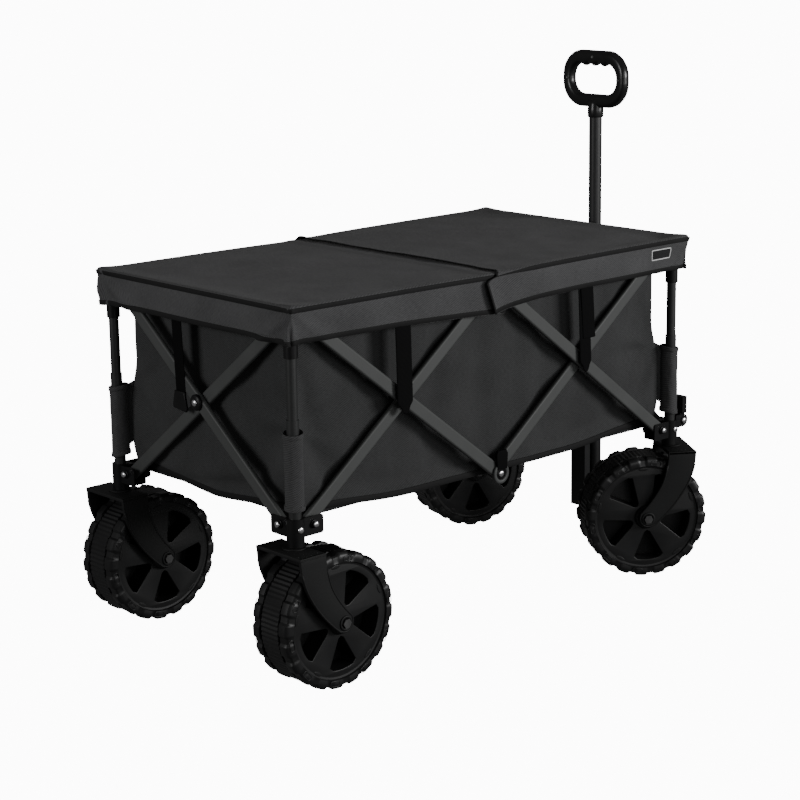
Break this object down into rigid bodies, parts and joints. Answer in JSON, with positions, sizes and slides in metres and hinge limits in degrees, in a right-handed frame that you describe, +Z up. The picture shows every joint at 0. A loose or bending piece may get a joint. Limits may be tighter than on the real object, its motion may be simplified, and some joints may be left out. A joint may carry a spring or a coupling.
{
  "type": "folding camp wagon",
  "caption": "Folding wagon with scissor frame, telescoping posts, fabric bag, lift-off cover, fork wheels with front casters and a telescoping pull handle.",
  "frame": {"origin": "on the ground, under the middle of the whole outline, wheels and handle included", "axes": "+X towards the pull handle, +Y to the left, +Z up"},
  "size_m": [1.13, 0.6921, 1.042],
  "materials": {
    "frame_paint": "matt powder coat, dark grey",
    "post_paint": "satin dark grey",
    "bracket_plastic": "black, fine grain",
    "fork_paint": "dark grey, cast grain",
    "wheel_plastic": "near black, moulded",
    "bolt_steel": "bright zinc",
    "handle_metal": "anodised dark grey",
    "hub_paint": "black powder coat",
    "grip_plastic": "dark grey, fine grain",
    "bag_fabric": "woven polyester, dark grey",
    "cover_fabric": "woven polyester, charcoal",
    "webbing": "black webbing"
  },
  "bodies": {
    "rear_left_corner": {"rear_left_lower_bracket": "bracket_plastic", "rear_left_lower_post": "post_paint", "rear_left_fork": "fork_paint", "rear_left_axle": "bolt_steel", "bag_left_and_rear": "bag_fabric"},
    "rear_right_corner": {"rear_right_lower_bracket": "bracket_plastic", "rear_right_lower_post": "post_paint", "rear_right_fork": "fork_paint", "rear_right_axle": "bolt_steel", "bag_right": "bag_fabric"},
    "front_left_corner": {"front_left_lower_bracket": "bracket_plastic", "front_left_lower_post": "post_paint", "bag_front": "bag_fabric"},
    "front_right_corner": {"front_right_lower_bracket": "bracket_plastic", "front_right_lower_post": "post_paint"},
    "upper_rear_left": {"rear_left_upper_bracket": "bracket_plastic", "rear_left_upper_post": "post_paint"},
    "upper_rear_right": {"rear_right_upper_bracket": "bracket_plastic", "rear_right_upper_post": "post_paint"},
    "upper_front_left": {"front_left_upper_bracket": "bracket_plastic", "front_left_upper_post": "post_paint"},
    "upper_front_right": {"front_right_upper_bracket": "bracket_plastic", "front_right_upper_post": "post_paint"},
    "left_rear_inner_bar": {"left_side_rear_inner_bar": "frame_paint", "left_side_rear_pins": "bolt_steel"},
    "left_rear_outer_bar": {"left_side_rear_outer_bar": "frame_paint"},
    "left_front_outer_bar": {"left_side_front_outer_bar": "frame_paint"},
    "left_front_inner_bar": {"left_side_front_inner_bar": "frame_paint", "left_side_front_pins": "bolt_steel"},
    "right_rear_inner_bar": {"right_side_rear_inner_bar": "frame_paint", "right_side_rear_pins": "bolt_steel"},
    "right_rear_outer_bar": {"right_side_rear_outer_bar": "frame_paint"},
    "right_front_outer_bar": {"right_side_front_outer_bar": "frame_paint"},
    "right_front_inner_bar": {"right_side_front_inner_bar": "frame_paint", "right_side_front_pins": "bolt_steel"},
    "rear_end_inner": {"rear_end_inner_bar": "frame_paint", "rear_end_centre_bolt": "bolt_steel"},
    "rear_end_outer": {"rear_end_outer_bar": "frame_paint"},
    "front_end_inner": {"front_end_inner_bar": "frame_paint"},
    "front_end_outer": {"front_end_outer_bar": "frame_paint"},
    "handle_hub": {"handle_hub": "hub_paint", "handle_hub_bolts": "bolt_steel"},
    "handle_lower": {"handle_outer_tube": "handle_metal"},
    "handle_upper": {"handle_inner_tube": "handle_metal", "handle_grip": "grip_plastic"},
    "lock_button": {"handle_lock_button": "bracket_plastic"},
    "rear_cover": {"rear_cover": "cover_fabric", "rear_cover_straps": "webbing"},
    "front_cover": {"front_cover": "cover_fabric", "front_cover_straps": "webbing"},
    "floor_rear": {"bag_floor_rear": "bag_fabric"},
    "floor_front": {"bag_floor_front": "bag_fabric"},
    "front_left_caster": {"front_left_fork": "fork_paint", "front_left_axle": "bolt_steel"},
    "front_right_caster": {"front_right_fork": "fork_paint", "front_right_axle": "bolt_steel"},
    "rear_left_wheel": {"rear_left_wheel": "wheel_plastic"},
    "rear_right_wheel": {"rear_right_wheel": "wheel_plastic"},
    "front_left_wheel": {"front_left_wheel": "wheel_plastic"},
    "front_right_wheel": {"front_right_wheel": "wheel_plastic"}
  },
  "joints": [
    {"name": "fold", "type": "hinge", "parent": "rear_left_corner", "child": "left_rear_inner_bar", "pos_m": [-0.464, 0.2438, 0.3], "axis": [0, -1, 0], "range_deg": [0, 30], "deforming": ["bag_left_and_rear", "bag_right", "bag_front", "bag_floor_rear", "bag_floor_front", "rear_cover", "front_cover", "rear_cover_straps", "front_cover_straps"]},
    {"name": "left_rear_crossing", "type": "hinge", "parent": "left_rear_inner_bar", "child": "left_rear_outer_bar", "pos_m": [-0.2345, 0.2438, 0.478], "axis": [0, -1, 0], "range_deg": [-60, 0]},
    {"name": "left_top_middle", "type": "hinge", "parent": "left_rear_inner_bar", "child": "left_front_outer_bar", "pos_m": [-0.005, 0.2438, 0.656], "axis": [0, -1, 0], "range_deg": [-60, 0]},
    {"name": "left_front_crossing", "type": "hinge", "parent": "left_front_outer_bar", "child": "left_front_inner_bar", "pos_m": [0.2245, 0.2438, 0.478], "axis": [0, -1, 0], "range_deg": [0, 60]},
    {"name": "left_front_outer_bar_foot", "type": "hinge", "parent": "left_front_outer_bar", "child": "front_left_corner", "pos_m": [0.454, 0.2438, 0.3], "axis": [0, -1, 0], "range_deg": [0, 30]},
    {"name": "left_rear_top", "type": "hinge", "parent": "left_rear_outer_bar", "child": "upper_rear_left", "pos_m": [-0.464, 0.2438, 0.656], "axis": [0, -1, 0], "range_deg": [0, 30]},
    {"name": "left_front_top", "type": "hinge", "parent": "left_front_inner_bar", "child": "upper_front_left", "pos_m": [0.454, 0.2438, 0.656], "axis": [0, -1, 0], "range_deg": [-30, 0]},
    {"name": "rear_end_foot", "type": "hinge", "parent": "rear_left_corner", "child": "rear_end_inner", "pos_m": [-0.4935, 0.2173, 0.3], "axis": [-1, 0, 0], "range_deg": [0, 30]},
    {"name": "rear_end_crossing", "type": "hinge", "parent": "rear_end_inner", "child": "rear_end_outer", "pos_m": [-0.4935, -0.0122, 0.478], "axis": [-1, 0, 0], "range_deg": [-60, 0]},
    {"name": "rear_end_outer_foot", "type": "hinge", "parent": "rear_end_outer", "child": "rear_right_corner", "pos_m": [-0.4935, -0.2417, 0.3], "axis": [-1, 0, 0], "range_deg": [0, 30]},
    {"name": "rear_end_top", "type": "hinge", "parent": "rear_end_inner", "child": "upper_rear_right", "pos_m": [-0.4935, -0.2417, 0.656], "axis": [-1, 0, 0], "range_deg": [-30, 0]},
    {"name": "right_rear_inner_bar_foot", "type": "hinge", "parent": "rear_right_corner", "child": "right_rear_inner_bar", "pos_m": [-0.464, -0.2682, 0.3], "axis": [0, -1, 0], "range_deg": [0, 30]},
    {"name": "right_rear_crossing", "type": "hinge", "parent": "right_rear_inner_bar", "child": "right_rear_outer_bar", "pos_m": [-0.2345, -0.2682, 0.478], "axis": [0, -1, 0], "range_deg": [-60, 0]},
    {"name": "right_top_middle", "type": "hinge", "parent": "right_rear_inner_bar", "child": "right_front_outer_bar", "pos_m": [-0.005, -0.2682, 0.656], "axis": [0, -1, 0], "range_deg": [-60, 0]},
    {"name": "right_front_crossing", "type": "hinge", "parent": "right_front_outer_bar", "child": "right_front_inner_bar", "pos_m": [0.2245, -0.2682, 0.478], "axis": [0, -1, 0], "range_deg": [0, 60]},
    {"name": "right_front_outer_bar_foot", "type": "hinge", "parent": "right_front_outer_bar", "child": "front_right_corner", "pos_m": [0.454, -0.2682, 0.3], "axis": [0, -1, 0], "range_deg": [0, 30]},
    {"name": "right_front_top", "type": "hinge", "parent": "right_front_inner_bar", "child": "upper_front_right", "pos_m": [0.454, -0.2682, 0.656], "axis": [0, -1, 0], "range_deg": [-30, 0]},
    {"name": "front_end_foot", "type": "hinge", "parent": "front_left_corner", "child": "front_end_inner", "pos_m": [0.4835, 0.2173, 0.3], "axis": [-1, 0, 0], "range_deg": [0, 30]},
    {"name": "front_end_crossing", "type": "hinge", "parent": "front_end_inner", "child": "front_end_outer", "pos_m": [0.4835, -0.0122, 0.478], "axis": [-1, 0, 0], "range_deg": [-60, 0]},
    {"name": "handle_hub_pivot", "type": "hinge", "parent": "front_end_inner", "child": "handle_hub", "pos_m": [0.4835, -0.0122, 0.478], "axis": [-1, 0, 0], "range_deg": [-30, 0]},
    {"name": "floor_rear_fold", "type": "hinge", "parent": "rear_left_corner", "child": "floor_rear", "pos_m": [-0.4625, -0.0122, 0.301], "axis": [0, -1, 0], "range_deg": [0, 61.5]},
    {"name": "floor_front_fold", "type": "hinge", "parent": "front_left_corner", "child": "floor_front", "pos_m": [0.4525, -0.0122, 0.301], "axis": [0, 1, 0], "range_deg": [0, 61.5]},
    {"name": "cover_lift", "type": "slide", "parent": "upper_front_left", "child": "front_cover", "axis": [0, 0, 1], "range_m": [0, 0.15]},
    {"name": "rear_cover_lift", "type": "slide", "parent": "upper_rear_left", "child": "rear_cover", "axis": [0, 0, 1], "range_m": [0, 0.15]},
    {"name": "front_left_swivel", "type": "hinge", "parent": "front_left_corner", "child": "front_left_caster", "pos_m": [0.488, 0.2483, 0.262], "axis": [0, 0, 1], "continuous": true},
    {"name": "front_left_spin", "type": "hinge", "parent": "front_left_caster", "child": "front_left_wheel", "pos_m": [0.43253, 0.26526, 0.125], "axis": [0.2924, 0.9563, 0], "continuous": true},
    {"name": "front_right_swivel", "type": "hinge", "parent": "front_right_corner", "child": "front_right_caster", "pos_m": [0.488, -0.2727, 0.262], "axis": [0, 0, 1], "continuous": true},
    {"name": "front_right_spin", "type": "hinge", "parent": "front_right_caster", "child": "front_right_wheel", "pos_m": [0.4398, -0.24044, 0.125], "axis": [0.5563, 0.831, 0], "continuous": true},
    {"name": "rear_left_spin", "type": "hinge", "parent": "rear_left_corner", "child": "rear_left_wheel", "pos_m": [-0.44, 0.2483, 0.125], "axis": [0, 1, 0], "continuous": true},
    {"name": "rear_right_spin", "type": "hinge", "parent": "rear_right_corner", "child": "rear_right_wheel", "pos_m": [-0.44, -0.2727, 0.125], "axis": [0, 1, 0], "continuous": true},
    {"name": "handle_tilt", "type": "hinge", "parent": "handle_hub", "child": "handle_lower", "pos_m": [0.545, -0.0122, 0.1], "axis": [0, 1, 0], "range_deg": [0, 80]},
    {"name": "handle_extend", "type": "slide", "parent": "handle_lower", "child": "handle_upper", "axis": [0, 0, 1], "range_m": [0, 0.25]},
    {"name": "lock_button_press", "type": "slide", "parent": "handle_lower", "child": "lock_button", "axis": [-1, 0, 0], "range_m": [0, 0.002], "stiffness_N_per_m": 500}
  ],
  "couplings": [
    {"joint": "left_rear_crossing", "follows": "fold", "ratio": -2},
    {"joint": "left_top_middle", "follows": "fold", "ratio": -2},
    {"joint": "left_front_crossing", "follows": "fold", "ratio": 2},
    {"joint": "left_front_outer_bar_foot", "follows": "fold", "ratio": 1},
    {"joint": "left_rear_top", "follows": "fold", "ratio": 1},
    {"joint": "left_front_top", "follows": "fold", "ratio": -1},
    {"joint": "rear_end_foot", "follows": "fold", "ratio": 1},
    {"joint": "rear_end_crossing", "follows": "fold", "ratio": -2},
    {"joint": "rear_end_outer_foot", "follows": "fold", "ratio": 1},
    {"joint": "rear_end_top", "follows": "fold", "ratio": -1},
    {"joint": "right_rear_inner_bar_foot", "follows": "fold", "ratio": 1},
    {"joint": "right_rear_crossing", "follows": "fold", "ratio": -2},
    {"joint": "right_top_middle", "follows": "fold", "ratio": -2},
    {"joint": "right_front_crossing", "follows": "fold", "ratio": 2},
    {"joint": "right_front_outer_bar_foot", "follows": "fold", "ratio": 1},
    {"joint": "right_front_top", "follows": "fold", "ratio": -1},
    {"joint": "front_end_foot", "follows": "fold", "ratio": 1},
    {"joint": "front_end_crossing", "follows": "fold", "ratio": -2},
    {"joint": "handle_hub_pivot", "follows": "fold", "ratio": -1},
    {"joint": "floor_rear_fold", "follows": "fold", "ratio": 2.05},
    {"joint": "floor_front_fold", "follows": "fold", "ratio": 2.05},
    {"joint": "rear_cover_lift", "follows": "cover_lift", "ratio": 1}
  ]
}
